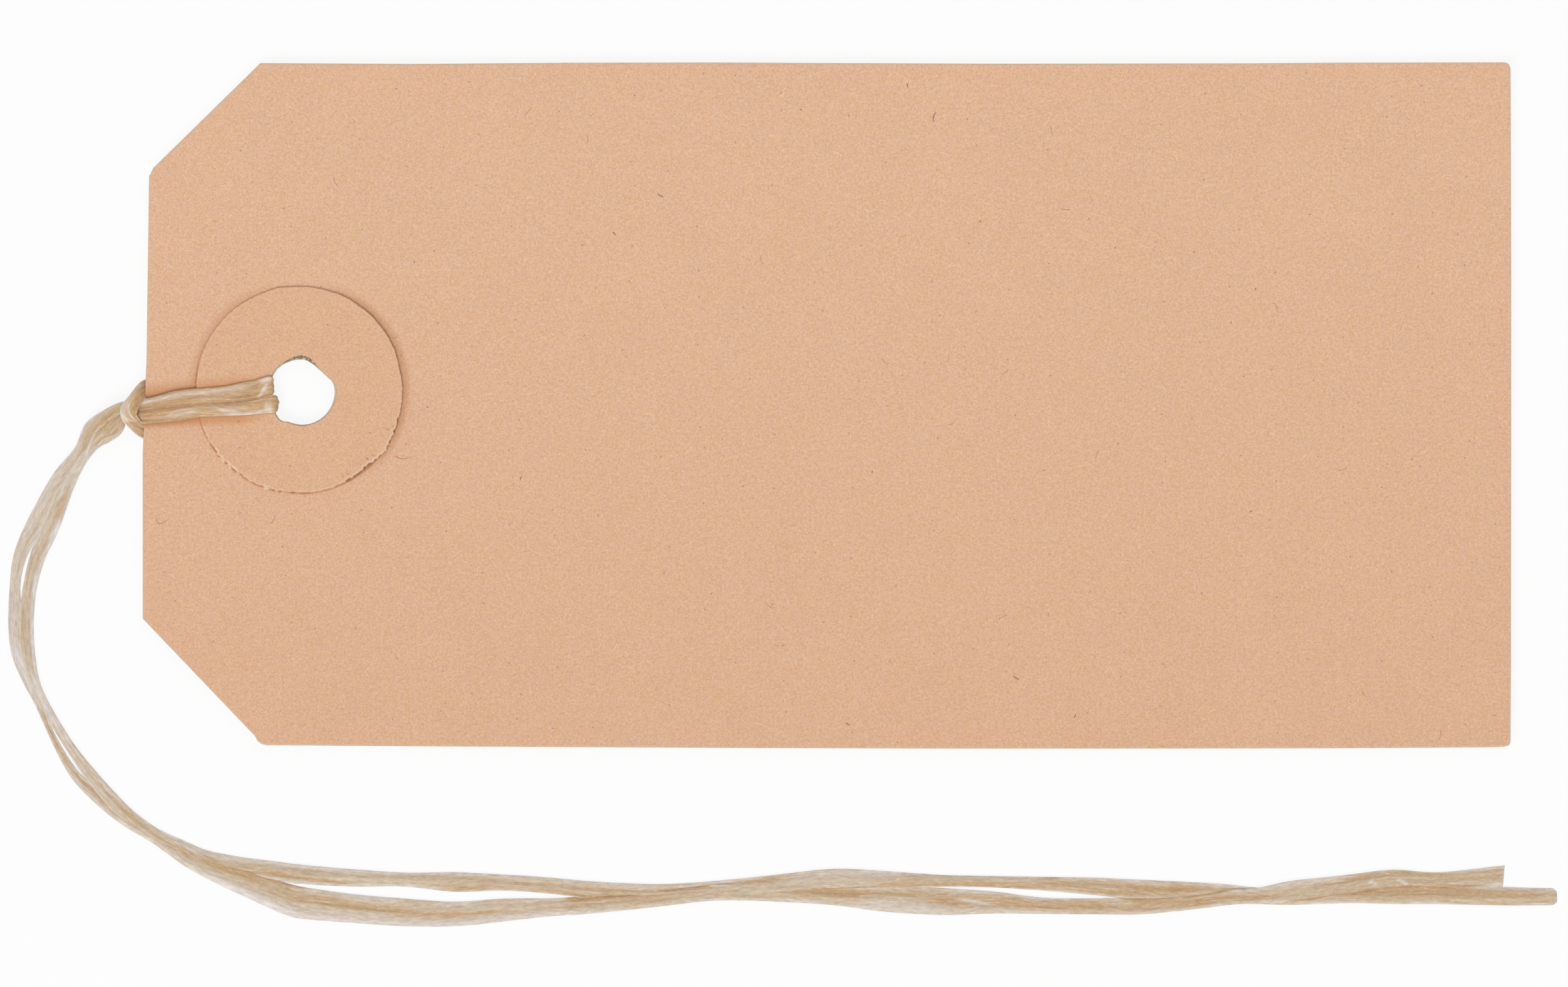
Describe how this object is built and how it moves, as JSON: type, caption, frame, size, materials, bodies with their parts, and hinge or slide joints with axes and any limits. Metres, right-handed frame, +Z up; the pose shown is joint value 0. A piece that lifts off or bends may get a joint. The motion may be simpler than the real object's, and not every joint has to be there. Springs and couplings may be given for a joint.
{
  "type": "gift tag",
  "caption": "Die-cut card tag with slanted corners, a patched hole and a doubled flat fibre string tied through it by a lark's head hitch, for tying to a gift or parcel.",
  "frame": {"origin": "on the surface that the tag lies on, under the middle of the card", "axes": "+X along the card away from its hole, +Y across the card, +Z up out of its face"},
  "size_m": [0.1356, 0.0749, 0.0025],
  "materials": {
    "buff_card": "uncoated buff card with fine grain and specks",
    "patch_paper": "uncoated buff paper, glued down",
    "fibre_string": "flat fibrous ribbon with a satin sheen along its fibres"
  },
  "bodies": {
    "tag": {"card": "buff_card", "front_patch": "patch_paper", "rear_patch": "patch_paper"},
    "hitch": {"hitch_loop": "fibre_string"},
    "tails": {"outer_tail": "fibre_string", "inner_tail": "fibre_string"}
  },
  "joints": [
    {"name": "hitch_swivel", "type": "hinge", "parent": "tag", "child": "hitch", "pos_m": [-0.0461, 0.0012, 0], "axis": [0, 0, 1], "range_deg": [-16, 3.5]},
    {"name": "tails_swing", "type": "hinge", "parent": "hitch", "child": "tails", "pos_m": [-0.06193, -0.00058, 0.00146], "axis": [-0.9938, -0.1115, 0], "range_deg": [0, 180]}
  ]
}
